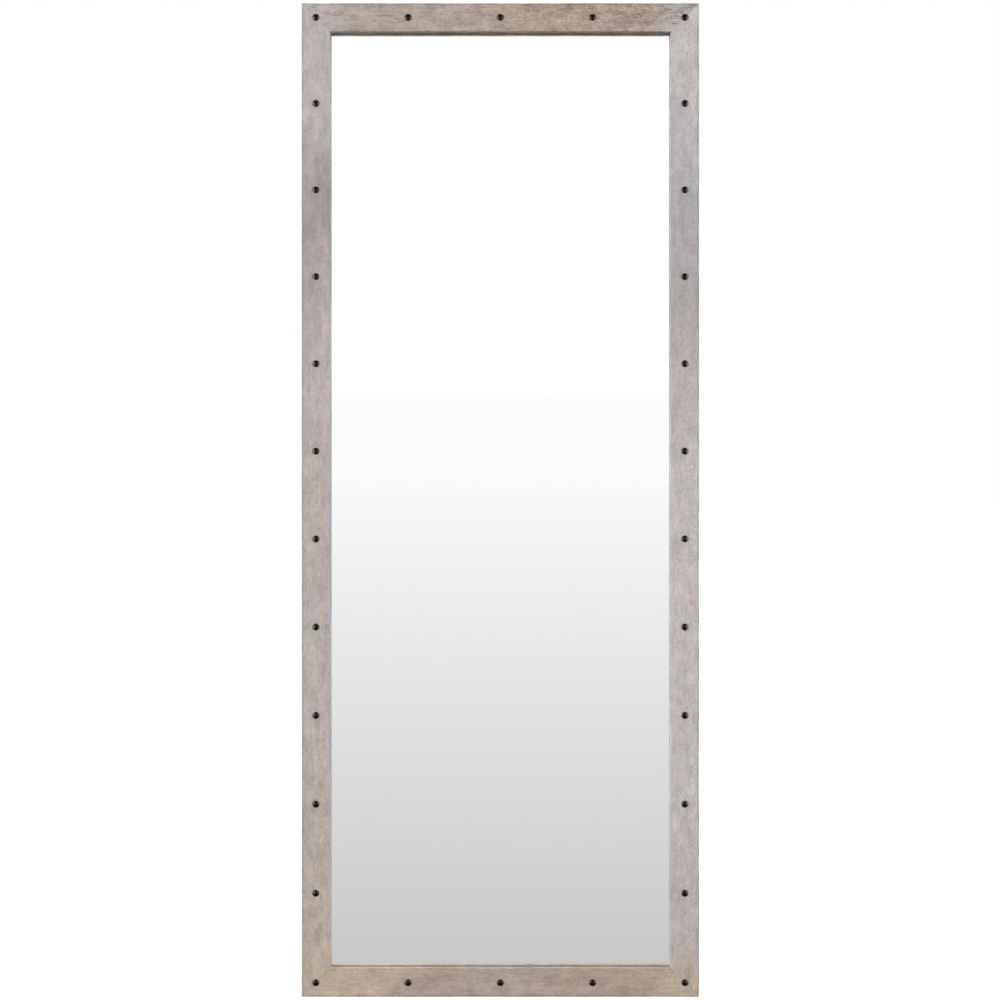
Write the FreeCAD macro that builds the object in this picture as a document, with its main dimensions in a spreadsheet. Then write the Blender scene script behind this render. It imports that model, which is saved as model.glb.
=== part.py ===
"""Tall accent mirror: a mitred wooden frame with domed nailheads, its glass, back and hangers.

Millimetres. +X is to the right seen from the front, +Z is up and the glass faces -Y. The origin
is the middle of the wall plane, which the four rubber pads on the back touch.
"""
import FreeCAD
import Part
import math
import os
import Sketcher
from FreeCAD import Rotation, Vector

# How many there are of each thing that repeats
NAILS_PER_RAIL = 5
NAILS_PER_STILE = 12
BOARD_SCREWS_PER_RAIL = 4
BOARD_SCREWS_PER_STILE = 9

# Driving sizes, each one a cell of the sheet
SIZES = {
    # the frame seen from the front
    "frame_width": 711.2,
    "frame_height": 1778.0,
    "rail_face": 50.8,
    "rail_arris": 1.0,
    # the rail's section, from the front to the back
    "lip_depth": 16.0,
    "glass_rebate": 10.0,
    "glass_thickness": 5.0,
    "foam_thickness": 5.0,
    "board_ledge": 12.0,
    "board_thickness": 6.0,
    # what stands round the glass and the board in their rebates
    "glass_clearance": 2.0,
    "board_clearance": 1.0,
    "shim_length": 40.0,
    "shim_reach_share": 0.5,
    # oval beech biscuits in the mitres
    "biscuit_length": 47.0,
    "biscuit_width": 15.0,
    "biscuit_blunt": 5.0,
    "biscuit_thickness": 4.0,
    "biscuit_clearance": 0.1,
    # domed nailheads
    "nail_diameter": 12.5,
    "nail_height": 4.5,
    "nail_shell": 0.9,
    "nail_inset": 25.4,
    "nail_shank": 1.8,
    "nail_length": 14.0,
    "nail_point": 3.0,
    "nail_pitch_growth_share": 0.021,
    # wood screws: shank, point and the room round them in their holes
    "screw_shank": 3.6,
    "screw_point": 4.0,
    "bore_clearance": 0.05,
    "bore_overrun": 1.0,
    # countersunk screws in the board and the braces
    "sunk_head": 6.6,
    "sunk_rim": 0.3,
    "sunk_length": 16.0,
    "board_screw_end": 60.0,
    # flat corner braces
    "brace_leg": 70.0,
    "brace_width": 16.0,
    "brace_thickness": 2.0,
    "brace_first_screw": 35.0,
    "brace_last_screw": 60.0,
    # hangers: a strap with a knuckle, and the ring that turns in it
    "hanger_drop": 450.0,
    "strap_width": 14.0,
    "strap_length": 40.0,
    "leaf_thickness": 1.0,
    "ring_wire": 3.0,
    "ring_width": 20.0,
    "ring_reach": 22.0,
    "ring_corner": 3.0,
    "knuckle_clearance": 0.1,
    "ring_gap": 0.3,
    "hanger_first_screw": 13.0,
    "hanger_last_screw": 32.0,
    # pan headed screws in the straps
    "pan_head": 7.0,
    "pan_height": 2.2,
    "pan_rim": 0.9,
    "pan_length": 14.0,
    # rubber pads
    "pad_diameter": 20.0,
    "pad_thickness": 6.0,
    "pad_bevel": 0.8,
    "pad_to_brace": 10.0,
    # how far a cut runs past the wood it leaves
    "cut_overrun": 2.0,
}

# Sizes worked out from them
WORKED = {
    "half_width": "Sizes.frame_width / 2",
    "half_height": "Sizes.frame_height / 2",
    "rail_depth": "Sizes.lip_depth + Sizes.glass_thickness + Sizes.foam_thickness"
                  " + Sizes.board_thickness",
    # widths of the rail that are left at the glass and at the back
    "glass_land": "Sizes.rail_face - Sizes.glass_rebate",
    "back_land": "Worked.glass_land - Sizes.board_ledge",
    # planes from the wall forwards
    "back_plane": "-Sizes.pad_thickness",
    "board_plane": "Worked.back_plane - Sizes.board_thickness",
    "foam_plane": "Worked.board_plane - Sizes.foam_thickness",
    "lip_plane": "Worked.foam_plane - Sizes.glass_thickness",
    "front_plane": "Worked.lip_plane - Sizes.lip_depth",
    # glass and board
    "glass_width": "Sizes.frame_width - 2 * (Worked.glass_land + Sizes.glass_clearance)",
    "glass_height": "Sizes.frame_height - 2 * (Worked.glass_land + Sizes.glass_clearance)",
    "board_width": "Sizes.frame_width - 2 * (Worked.back_land + Sizes.board_clearance)",
    "board_height": "Sizes.frame_height - 2 * (Worked.back_land + Sizes.board_clearance)",
    "board_screw_inset": "Worked.back_land + Sizes.board_ledge / 2",
    # the biscuits lie between the points of the nails and the back, in the middle of the wood
    "biscuit_inset": "Worked.glass_land / 2",
    "biscuit_plane": "(Worked.front_plane + Sizes.nail_length + Worked.back_plane) / 2",
    # the middle of the land at the back, which carries the braces, hangers and pads
    "land_middle": "Worked.back_land / 2",
    "brace_inset": "(Worked.back_land - Sizes.brace_width) / 2",
    "brace_face": "Worked.back_plane + Sizes.brace_thickness",
    "pad_drop": "Worked.brace_inset + Sizes.brace_leg + Sizes.pad_to_brace"
                " + Sizes.pad_diameter / 2",
    # the hanger: the strap is one strip folded back on itself round the ring's bar
    "bar_bore": "Sizes.ring_wire / 2 + Sizes.knuckle_clearance",
    "knuckle_radius": "Worked.bar_bore + Sizes.leaf_thickness",
    "strap_thickness": "2 * Sizes.leaf_thickness",
    "strap_face": "Worked.back_plane + Worked.strap_thickness",
    "knuckle_plane": "Worked.back_plane + Worked.knuckle_radius",
    "hanger_place": "Worked.half_width - Worked.land_middle",
    "hanger_height": "Worked.half_height - Sizes.hanger_drop",
    "ring_half": "(Sizes.ring_width + Sizes.ring_wire) / 2",
    # at rest the ring hangs down and leans on its gap over the strap
    "ring_stand": "Worked.strap_thickness + Sizes.ring_wire / 2 + Sizes.ring_gap"
                  " - Worked.knuckle_radius",
    "ring_tilt": "asin(Worked.ring_stand / Sizes.ring_reach) / 1 deg",
}

doc = FreeCAD.newDocument("accent_mirror")
sheet = doc.addObject("Spreadsheet::Sheet", "Sizes")
for row, (name, size) in enumerate(SIZES.items(), start=1):
    sheet.set(f"A{row}", name)
    sheet.set(f"B{row}", str(size))
    sheet.setAlias(f"B{row}", name)
doc.recompute()

worked = doc.addObject("App::VarSet", "Worked")
for name, formula in WORKED.items():
    worked.addProperty("App::PropertyFloat", name)
    worked.setExpression(name, formula)
doc.recompute()


def value(formula):
    """The number that a formula of the sheet's sizes has now."""
    return float(sheet.evalExpression(formula))


def point(across, up):
    return Vector(value(across), value(up), 0)


# Sketches and the features made from them

def new_body(label):
    return doc.addObject("PartDesign::Body", label)


def new_sketch(body, name, plane_role, lift="0"):
    """A sketch on one of the body's own planes, lifted along the plane's normal."""
    sketch = body.newObject("Sketcher::SketchObject", name)
    plane = next(item for item in body.Origin.OriginFeatures if item.Role == plane_role)
    sketch.AttachmentSupport = [(plane, "")]
    sketch.MapMode = "FlatFace"
    sketch.setExpression("AttachmentOffset.Base.z", lift)
    return sketch


def pin(sketch, item, end, direction, formula):
    """Ties one coordinate of an end or a centre in the sketch to a formula."""
    tie = sketch.addConstraint(Sketcher.Constraint(direction, -1, 1, item, end, value(formula)))
    sketch.setExpression(f"Constraints[{tie}]", formula)


def pin_point(sketch, item, end, across, up):
    pin(sketch, item, end, "DistanceX", across)
    pin(sketch, item, end, "DistanceY", up)


def pin_arc_end(sketch, item, end, across, up, centre):
    """Ties the far end of an arc, whose circle is known, by the coordinate that moves it most."""
    spoke = point(across, up) - centre
    if abs(spoke.x) > abs(spoke.y):
        pin(sketch, item, end, "DistanceY", up)
    else:
        pin(sketch, item, end, "DistanceX", across)


def arc_between(start, end, centre):
    """The shorter arc from start to end, and whether the sketch keeps its ends in that order."""
    first = math.atan2(start.y - centre.y, start.x - centre.x)
    last = math.atan2(end.y - centre.y, end.x - centre.x)
    forward = (last - first) % math.tau <= math.pi
    if not forward:
        first, last = last, first
    circle = Part.Circle(centre, Vector(0, 0, 1), start.distanceToPoint(centre))
    return Part.ArcOfCircle(circle, first, last), forward


def outline(sketch, corners):
    """Closes a line through the corners, each one (across, up) in formulas.

    A corner that has a third and fourth item is followed by an arc about that centre. A corner
    with only a third item, "dome", is followed by an arc whose centre lies on the upright axis.
    """
    points = [point(corner[0], corner[1]) for corner in corners]
    ends = []
    for place, corner in enumerate(corners):
        start, end = points[place], points[(place + 1) % len(points)]
        if len(corner) == 2:
            item = sketch.addGeometry(Part.LineSegment(start, end), False)
            ends.append((item, 1, 2))
            continue
        if corner[2] == "dome":
            rise = (start.Length ** 2 - end.Length ** 2) / (2 * (start.y - end.y))
            centre = Vector(0, rise, 0)
        else:
            centre = point(corner[2], corner[3])
        arc, forward = arc_between(start, end, centre)
        item = sketch.addGeometry(arc, False)
        ends.append((item, 1, 2) if forward else (item, 2, 1))
        if corner[2] == "dome":
            sketch.addConstraint(Sketcher.Constraint("PointOnObject", item, 3, -2))
        else:
            pin_point(sketch, item, 3, corner[2], corner[3])
    for place, (item, _, last) in enumerate(ends):
        following, first, _ = ends[(place + 1) % len(ends)]
        sketch.addConstraint(Sketcher.Constraint("Coincident", item, last, following, first))
    for (item, first, _), corner, before in zip(ends, corners, corners[-1:] + corners[:-1]):
        if len(before) == 4:
            pin_arc_end(sketch, item, first, corner[0], corner[1], point(before[2], before[3]))
        else:
            pin_point(sketch, item, first, corner[0], corner[1])
    return sketch


def disc(sketch, radius):
    """A circle about the sketch's own origin."""
    circle = Part.Circle(Vector(0, 0, 0), Vector(0, 0, 1), value(radius))
    item = sketch.addGeometry(circle, False)
    tie = sketch.addConstraint(Sketcher.Constraint("Radius", item, value(radius)))
    sketch.setExpression(f"Constraints[{tie}]", radius)
    sketch.addConstraint(Sketcher.Constraint("Coincident", item, 3, -1, 1))
    return sketch


def pad(body, name, sketch, length, side="One side"):
    feature = body.newObject("PartDesign::Pad", name)
    feature.Profile = sketch
    feature.SideType = side
    feature.setExpression("Length", length)
    doc.recompute()
    return feature


def pocket(body, name, sketch):
    """Cuts the sketch through the whole body, both ways, and checks that wood is gone."""
    before = body.Shape.Volume
    feature = body.newObject("PartDesign::Pocket", name)
    feature.Profile = sketch
    feature.Type = "ThroughAll"
    feature.SideType = "Symmetric"
    doc.recompute()
    if not feature.Shape.Volume < before:
        raise RuntimeError(f"{name} cuts nothing from {body.Label}")
    return feature


def turned(label, corners):
    """A body turned about its own Z axis from half a section, corners as (radius, height)."""
    body = new_body(label)
    section = outline(new_sketch(body, f"{label}_section", "XZ_Plane"), corners)
    feature = body.newObject("PartDesign::Revolution", f"{label}_turn")
    feature.Profile = section
    feature.ReferenceAxis = (section, ["V_Axis"])
    feature.Angle = 360
    return body


def plate(label, corners, thickness, plane):
    """A flat body seen from the front, whose back face lies in the given plane."""
    body = new_body(label)
    shape = outline(new_sketch(body, f"{label}_outline", "XZ_Plane"), corners)
    pad(body, f"{label}_sheet", shape, thickness)
    body.setExpression(".Placement.Base.y", plane)
    return body


def rectangle(width, height):
    """Corners of a rectangle about the middle."""
    right, top = f"({width}) / 2", f"({height}) / 2"
    left, bottom = f"-({width}) / 2", f"-({height}) / 2"
    return [(left, bottom), (right, bottom), (right, top), (left, top)]


# Placing copies

FACING_FRONT = Rotation(Vector(1, 0, 0), 90)
FACING_BACK = Rotation(Vector(1, 0, 0), -90)


def place_at(item, x, y, z):
    for axis, formula in (("x", x), ("y", y), ("z", z)):
        item.setExpression(f".Placement.Base.{axis}", formula)
    return item


def group_of(label, pattern, plane, places, facing):
    """One link of the pattern at each (x, z) of a plane, gathered under one label."""
    links = []
    for number, (x, z) in enumerate(places, start=1):
        link = doc.addObject("App::Link", f"{label}_{number}")
        link.LinkedObject = pattern
        link.Placement.Rotation = facing
        links.append(place_at(link, x, plane, z))
    group = doc.addObject("Part::Compound", label)
    group.Links = links
    return group


def drilled(label, blank, bores):
    """The blank with every bore cut from it."""
    tools = doc.addObject("Part::Compound", f"{label}_bores")
    tools.Links = bores
    cut = doc.addObject("Part::Cut", label)
    cut.Base = blank
    cut.Tool = tools
    return cut


# Fasteners, and the bores that they sit in

def nail_corners():
    """Half section of a nailhead: a thin dome on a shank, height 0 at the face of the wood."""
    shank = "Sizes.nail_shank / 2"
    return [
        ("0", "-Sizes.nail_length"),
        (shank, "-Sizes.nail_length + Sizes.nail_point"),
        (shank, "Sizes.nail_height - Sizes.nail_shell", "dome"),
        ("Sizes.nail_diameter / 2 - Sizes.nail_shell", "0"),
        ("Sizes.nail_diameter / 2", "0", "dome"),
        ("0", "Sizes.nail_height"),
    ]


def nail_bore_corners():
    radius = "Sizes.nail_shank / 2 + Sizes.bore_clearance"
    return [
        ("0", "-Sizes.nail_length - Sizes.bore_clearance"),
        (radius, "-Sizes.nail_length + Sizes.nail_point"),
        (radius, "Sizes.bore_overrun"),
        ("0", "Sizes.bore_overrun"),
    ]


def sunk_corners(room, top):
    """Half section of a countersunk screw, height 0 at its flush top, or of its bore."""
    head = f"Sizes.sunk_head / 2 + {room}"
    shank = f"Sizes.screw_shank / 2 + {room}"
    cone = "(Sizes.sunk_head - Sizes.screw_shank) / 2"
    return [
        ("0", f"-Sizes.sunk_length - {room}"),
        (shank, "-Sizes.sunk_length + Sizes.screw_point"),
        (shank, f"-Sizes.sunk_rim - {cone}"),
        (head, "-Sizes.sunk_rim"),
        (head, top),
        ("0", top),
    ]


def pan_corners():
    """Half section of a pan headed screw, height 0 under its head."""
    shank = "Sizes.screw_shank / 2"
    return [
        ("0", "-Sizes.pan_length"),
        (shank, "-Sizes.pan_length + Sizes.screw_point"),
        (shank, "0"),
        ("Sizes.pan_head / 2", "0"),
        ("Sizes.pan_head / 2", "Sizes.pan_rim", "dome"),
        ("0", "Sizes.pan_height"),
    ]


def pan_bore_corners():
    radius = "Sizes.screw_shank / 2 + Sizes.bore_clearance"
    return [
        ("0", "-Sizes.pan_length - Sizes.bore_clearance"),
        (radius, "-Sizes.pan_length + Sizes.screw_point"),
        (radius, "Sizes.bore_overrun"),
        ("0", "Sizes.bore_overrun"),
    ]


def spread(count, first, last):
    """Formulas of evenly spaced places from first to last."""
    return [f"{first} + ({last} - ({first})) * {step} / {count - 1}" for step in range(count)]


def nail_heights():
    """Heights of the nails up a stile: the spacing grows a little from the top to the bottom."""
    reach = "(Worked.half_height - Sizes.nail_inset)"
    heights = []
    for step in range(NAILS_PER_STILE):
        even = f"{step} / {NAILS_PER_STILE - 1}"
        share = f"({even} - Sizes.nail_pitch_growth_share * ({even}) * (1 - {even}))"
        heights.append(f"{reach} - 2 * {reach} * {share}")
    return heights


def nail_places():
    """Places of the nails of each rail, the corner ones with the top and bottom rows."""
    right = "Worked.half_width - Sizes.nail_inset"
    left = f"-({right})"
    across = spread(NAILS_PER_RAIL, left, right)
    heights = nail_heights()
    return {
        "top": [(x, heights[0]) for x in across],
        "bottom": [(x, heights[-1]) for x in across],
        "left": [(left, z) for z in heights[1:-1]],
        "right": [(right, z) for z in heights[1:-1]],
    }


def board_screw_places():
    side = "(Worked.half_width - Worked.board_screw_inset)"
    end = "(Worked.half_height - Worked.board_screw_inset)"
    across = "(Worked.half_width - Sizes.board_screw_end)"
    up = "(Worked.half_height - Sizes.board_screw_end)"
    places = []
    for x in spread(BOARD_SCREWS_PER_RAIL, f"-{across}", across):
        places += [(x, end), (x, f"-{end}")]
    for z in spread(BOARD_SCREWS_PER_STILE, f"-{up}", up):
        places += [(side, z), (f"-{side}", z)]
    return places


# The corners, with the side that each one lies on and the turn of its brace
CORNERS = {
    "top_left": ("-", "", 0),
    "top_right": ("", "", 90),
    "bottom_right": ("", "-", 180),
    "bottom_left": ("-", "-", 270),
}


def brace_screw_places():
    places = []
    for across, up, _ in CORNERS.values():
        for reach in ("Sizes.brace_first_screw", "Sizes.brace_last_screw"):
            edge = f"(Worked.brace_inset + {reach})"
            places.append((f"{across}(Worked.half_width - {edge})",
                           f"{up}(Worked.half_height - Worked.land_middle)"))
            places.append((f"{across}(Worked.half_width - Worked.land_middle)",
                           f"{up}(Worked.half_height - {edge})"))
    return places


def hanger_screw_places():
    return [(f"{side}Worked.hanger_place", f"Worked.hanger_height - {drop}")
            for side in ("-", "")
            for drop in ("Sizes.hanger_first_screw", "Sizes.hanger_last_screw")]


nail = turned("nail", nail_corners())
nail_bore = turned("nail_bore", nail_bore_corners())
sunk_screw = turned("sunk_screw", sunk_corners("0", "0"))
sunk_bore = turned("sunk_bore", sunk_corners("Sizes.bore_clearance", "Sizes.bore_overrun"))
pan_screw = turned("pan_screw", pan_corners())
pan_bore = turned("pan_bore", pan_bore_corners())

nodes = []
bores = []
for side, places in nail_places().items():
    nodes.append(group_of(f"nailheads_{side}", nail, "Worked.front_plane", places, FACING_FRONT))
    bores.append(group_of(f"nail_holes_{side}", nail_bore, "Worked.front_plane", places,
                          FACING_FRONT))

nodes.append(group_of("board_screws", sunk_screw, "Worked.back_plane", board_screw_places(),
                      FACING_BACK))
board_holes = group_of("board_holes", sunk_bore, "Worked.back_plane", board_screw_places(),
                       FACING_BACK)
nodes.append(group_of("brace_screws", sunk_screw, "Worked.brace_face", brace_screw_places(),
                      FACING_BACK))
brace_holes = group_of("brace_holes", sunk_bore, "Worked.brace_face", brace_screw_places(),
                       FACING_BACK)
nodes.append(group_of("hanger_screws", pan_screw, "Worked.strap_face", hanger_screw_places(),
                      FACING_BACK))
hanger_holes = group_of("hanger_holes", pan_bore, "Worked.strap_face", hanger_screw_places(),
                        FACING_BACK)
bores += [board_holes, brace_holes, hanger_holes]


# Biscuits across the mitres, each in a slot of its own outline with a little room

def biscuit_corners(room):
    """An oval with blunt ends: each long side is an arc centred on the short axis."""
    length = f"Sizes.biscuit_length / 2 + {room}"
    blunt = f"Sizes.biscuit_blunt / 2 + {room}"
    bulge = f"(Sizes.biscuit_width / 2 + {room})"
    rise = f"({bulge} - ({blunt}))"
    radius = f"((({length}) * ({length}) + {rise} * {rise}) / (2 * {rise}))"
    return [
        (length, f"-({blunt})"),
        (length, blunt, "0", f"{bulge} - {radius}"),
        (f"-({length})", blunt),
        (f"-({length})", f"-({blunt})", "0", f"{radius} - {bulge}"),
    ]


def biscuit(label, across, up, turn, room):
    body = new_body(label)
    shape = outline(new_sketch(body, f"{label}_outline", "XZ_Plane"), biscuit_corners(room))
    pad(body, f"{label}_board", shape, f"Sizes.biscuit_thickness + 2 * {room}", "Symmetric")
    body.Placement.Rotation = Rotation(Vector(0, 1, 0), turn)
    return place_at(body, f"{across}(Worked.half_width - Worked.biscuit_inset)",
                    "Worked.biscuit_plane",
                    f"{up}(Worked.half_height - Worked.biscuit_inset)")


for corner, (across, up, turn) in CORNERS.items():
    along_mitre = turn + 45
    nodes.append(biscuit(f"corner_biscuit_{corner}", across, up, along_mitre, "0"))
    bores.append(biscuit(f"slot_{corner}", across, up, along_mitre, "Sizes.biscuit_clearance"))


# Rails: one moulding, mitred at both ends, in four places

def rail_section(reach):
    """Section of the moulding, across from the back forwards and up to the outer edge."""
    return [
        ("0", reach),
        ("-Worked.rail_depth", reach),
        ("-Worked.rail_depth", f"{reach} - Sizes.rail_face"),
        ("Sizes.lip_depth - Worked.rail_depth", f"{reach} - Sizes.rail_face"),
        ("Sizes.lip_depth - Worked.rail_depth", f"{reach} - Worked.glass_land"),
        ("-Sizes.board_thickness", f"{reach} - Worked.glass_land"),
        ("-Sizes.board_thickness", f"{reach} - Worked.back_land"),
        ("0", f"{reach} - Worked.back_land"),
    ]


def front_arrises(moulding, reach):
    """Names of the moulding's two long front edges."""
    near = moulding.Shape.getTolerance(1)
    wanted = []
    for up in (reach, f"{reach} - Sizes.rail_face"):
        wanted.append(Vector(0, -worked.rail_depth, value(up)))
    return [f"Edge{number}" for number, edge in enumerate(moulding.Shape.Edges, start=1)
            if any(edge.CenterOfMass.isEqual(middle, near) for middle in wanted)]


def mitre_corners(side, half_length, reach):
    """The waste beyond a mitre, a triangle that runs past the wood on every side."""
    inside = "(Sizes.rail_face + Sizes.cut_overrun)"
    return [
        (f"{side}({half_length} + Sizes.cut_overrun)", f"{reach} + Sizes.cut_overrun"),
        (f"{side}({half_length} - {inside})", f"{reach} - {inside}"),
        (f"{side}({half_length} + Sizes.cut_overrun)", f"{reach} - {inside}"),
    ]


def rail(label, half_length, reach, turn):
    blank = new_body(f"{label}_blank")
    section = outline(new_sketch(blank, f"{label}_section", "YZ_Plane"), rail_section(reach))
    moulding = pad(blank, f"{label}_moulding", section, f"2 * {half_length}", "Symmetric")
    eased = blank.newObject("PartDesign::Fillet", f"{label}_arrises")
    eased.Base = (moulding, front_arrises(moulding, reach))
    eased.setExpression("Radius", "Sizes.rail_arris")
    doc.recompute()
    for end, side in (("left", "-"), ("right", "")):
        waste = new_sketch(blank, f"{label}_{end}_waste", "XZ_Plane")
        outline(waste, mitre_corners(side, half_length, reach))
        pocket(blank, f"{label}_{end}_mitre", waste)
    blank.Placement.Rotation = Rotation(Vector(0, 1, 0), turn)
    blank.setExpression(".Placement.Base.y", "Worked.back_plane")
    return drilled(label, blank, bores)


nodes.append(rail("top_rail", "Worked.half_width", "Worked.half_height", 0))
nodes.append(rail("right_stile", "Worked.half_height", "Worked.half_width", 90))
nodes.append(rail("bottom_rail", "Worked.half_width", "Worked.half_height", 180))
nodes.append(rail("left_stile", "Worked.half_height", "Worked.half_width", 270))


# Glass, foam and board, from the lip backwards

nodes.append(plate("mirror_pane", rectangle("Worked.glass_width", "Worked.glass_height"),
                   "Sizes.glass_thickness", "Worked.foam_plane"))
nodes.append(plate("foam_sheet", rectangle("Worked.glass_width", "Worked.glass_height"),
                   "Sizes.foam_thickness", "Worked.board_plane"))
board = plate("backing_board_blank", rectangle("Worked.board_width", "Worked.board_height"),
              "Sizes.board_thickness", "Worked.back_plane")
nodes.append(drilled("backing_board", board, [board_holes]))


# Blocks under the glass and shims round it, as deep as the glass and as thick as its clearance

def shim_pattern(label, lying):
    length, thickness = "Sizes.shim_length", "Sizes.glass_clearance"
    width, height = (length, thickness) if lying else (thickness, length)
    return plate(label, rectangle(width, height), "Sizes.glass_thickness", "0")


UNTURNED = Rotation()
lying_shim = shim_pattern("lying_shim", True)
standing_shim = shim_pattern("standing_shim", False)
shim_across = "(Worked.half_width * Sizes.shim_reach_share)"
shim_up = "(Worked.half_height * Sizes.shim_reach_share)"
side_gap = "(Worked.half_width - Worked.glass_land - Sizes.glass_clearance / 2)"
end_gap = "(Worked.half_height - Worked.glass_land - Sizes.glass_clearance / 2)"
SHIMS = {
    "setting_block_left": (lying_shim, [(f"-{shim_across}", f"-{end_gap}")]),
    "setting_block_right": (lying_shim, [(shim_across, f"-{end_gap}")]),
    "edge_shims_top": (lying_shim, [(f"-{shim_across}", end_gap), (shim_across, end_gap)]),
    "edge_shims_left": (standing_shim, [(f"-{side_gap}", f"-{shim_up}"), (f"-{side_gap}", shim_up)]),
    "edge_shims_right": (standing_shim, [(side_gap, f"-{shim_up}"), (side_gap, shim_up)]),
}
for label, (pattern, places) in SHIMS.items():
    nodes.append(group_of(label, pattern, "Worked.foam_plane", places, UNTURNED))


# Flat braces over the mitres on the back

def brace_corners():
    """An L from its outer corner, to the right and down, with round ends."""
    leg, width = "Sizes.brace_leg", "Sizes.brace_width"
    middle, straight = f"{width} / 2", f"({leg} - {width} / 2)"
    return [
        ("0", "0"),
        (straight, "0", straight, f"-{middle}"),
        (leg, f"-{middle}", straight, f"-{middle}"),
        (straight, f"-{width}"),
        (width, f"-{width}"),
        (width, f"-{straight}", middle, f"-{straight}"),
        (middle, f"-{leg}", middle, f"-{straight}"),
        ("0", f"-{straight}"),
    ]


for corner, (across, up, turn) in CORNERS.items():
    brace = plate(f"brace_blank_{corner}", brace_corners(), "Sizes.brace_thickness",
                  "Worked.brace_face")
    brace.Placement.Rotation = Rotation(Vector(0, 1, 0), turn)
    place_at(brace, f"{across}(Worked.half_width - Worked.brace_inset)", "Worked.brace_face",
             f"{up}(Worked.half_height - Worked.brace_inset)")
    nodes.append(drilled(f"corner_brace_{corner}", brace, [brace_holes]))


# Hangers: the strap's own origin is the axis that its ring turns about

def strap_corners():
    """The leaf from the axis down to its round end."""
    half, straight = "Sizes.strap_width / 2", "(Sizes.strap_length - Sizes.strap_width / 2)"
    return [
        (f"-{half}", "0"),
        (f"-{half}", f"-{straight}", "0", f"-{straight}"),
        ("0", "-Sizes.strap_length", "0", f"-{straight}"),
        (half, f"-{straight}"),
        (half, "0"),
    ]


def strap(label, side):
    blank = new_body(f"{label}_blank")
    face = new_sketch(blank, f"{label}_leaf_outline", "XZ_Plane",
                      "Worked.knuckle_radius - Worked.strap_thickness")
    pad(blank, f"{label}_leaf", outline(face, strap_corners()), "Worked.strap_thickness")
    roll = disc(new_sketch(blank, f"{label}_roll", "YZ_Plane"), "Worked.knuckle_radius")
    pad(blank, f"{label}_knuckle", roll, "Sizes.strap_width", "Symmetric")
    bore = disc(new_sketch(blank, f"{label}_bore", "YZ_Plane"), "Worked.bar_bore")
    pocket(blank, f"{label}_bar_bore", bore)
    place_at(blank, f"{side}Worked.hanger_place", "Worked.knuckle_plane", "Worked.hanger_height")
    return drilled(label, blank, [hanger_holes])


def ring_corners():
    """The line of the ring's wire: a bar on the axis, two short legs and a round bow below."""
    half, bend = "Worked.ring_half", "Sizes.ring_corner"
    bow = f"({half} - Sizes.ring_reach)"
    return [
        (f"{bend} - {half}", "0"),
        (f"{half} - {bend}", "0", f"{half} - {bend}", f"-{bend}"),
        (half, f"-{bend}"),
        (half, bow, "0", bow),
        ("0", "-Sizes.ring_reach", "0", bow),
        (f"-{half}", bow),
        (f"-{half}", f"-{bend}", f"{bend} - {half}", f"-{bend}"),
    ]


def ring(label, side):
    body = new_body(label)
    line = outline(new_sketch(body, f"{label}_line", "XZ_Plane"), ring_corners())
    wire = disc(new_sketch(body, f"{label}_wire", "YZ_Plane"), "Sizes.ring_wire / 2")
    sweep = body.newObject("PartDesign::AdditivePipe", f"{label}_sweep")
    sweep.Profile = (wire, [])
    sweep.Spine = (line, [])
    body.Placement.Rotation = Rotation(Vector(1, 0, 0), 1)
    body.setExpression(".Placement.Rotation.Angle", "Worked.ring_tilt")
    return place_at(body, f"{side}Worked.hanger_place", "Worked.knuckle_plane",
                    "Worked.hanger_height")


for end, side in (("left", "-"), ("right", "")):
    nodes.append(strap(f"hanger_strap_{end}", side))
    nodes.append(ring(f"hanger_ring_{end}", side))


# Rubber pads that keep the frame off the wall

def pad_corners():
    radius = "Sizes.pad_diameter / 2"
    return [
        ("0", "0"),
        (radius, "0"),
        (radius, "Sizes.pad_thickness - Sizes.pad_bevel"),
        (f"{radius} - Sizes.pad_bevel", "Sizes.pad_thickness"),
        ("0", "Sizes.pad_thickness"),
    ]


for corner, (across, up, _) in CORNERS.items():
    rubber = turned(f"wall_pad_{corner}", pad_corners())
    rubber.Placement.Rotation = FACING_BACK
    nodes.append(place_at(rubber, f"{across}(Worked.half_width - Worked.land_middle)",
                          "Worked.back_plane", f"{up}(Worked.half_height - Worked.pad_drop)"))


# Every object has to be sound before any file is written
doc.recompute()
for item in doc.Objects:
    if "Invalid" in item.State or "Error" in item.State:
        raise RuntimeError(f"{item.Name} failed: {item.State}")

os.makedirs("parts", exist_ok=True)
for node in nodes:
    if node.Shape.isNull() or not node.Shape.isValid() or not node.Shape.Solids:
        raise RuntimeError(f"{node.Label} has no sound shape")
for node in nodes:
    node.Shape.exportStep(os.path.join("parts", f"{node.Label}.step"))
    print(f"{node.Label}: {len(node.Shape.Solids)} solids, {node.Shape.Volume:.1f} mm3")
print(f"{len(nodes)} nodes")
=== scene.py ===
import math

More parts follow.
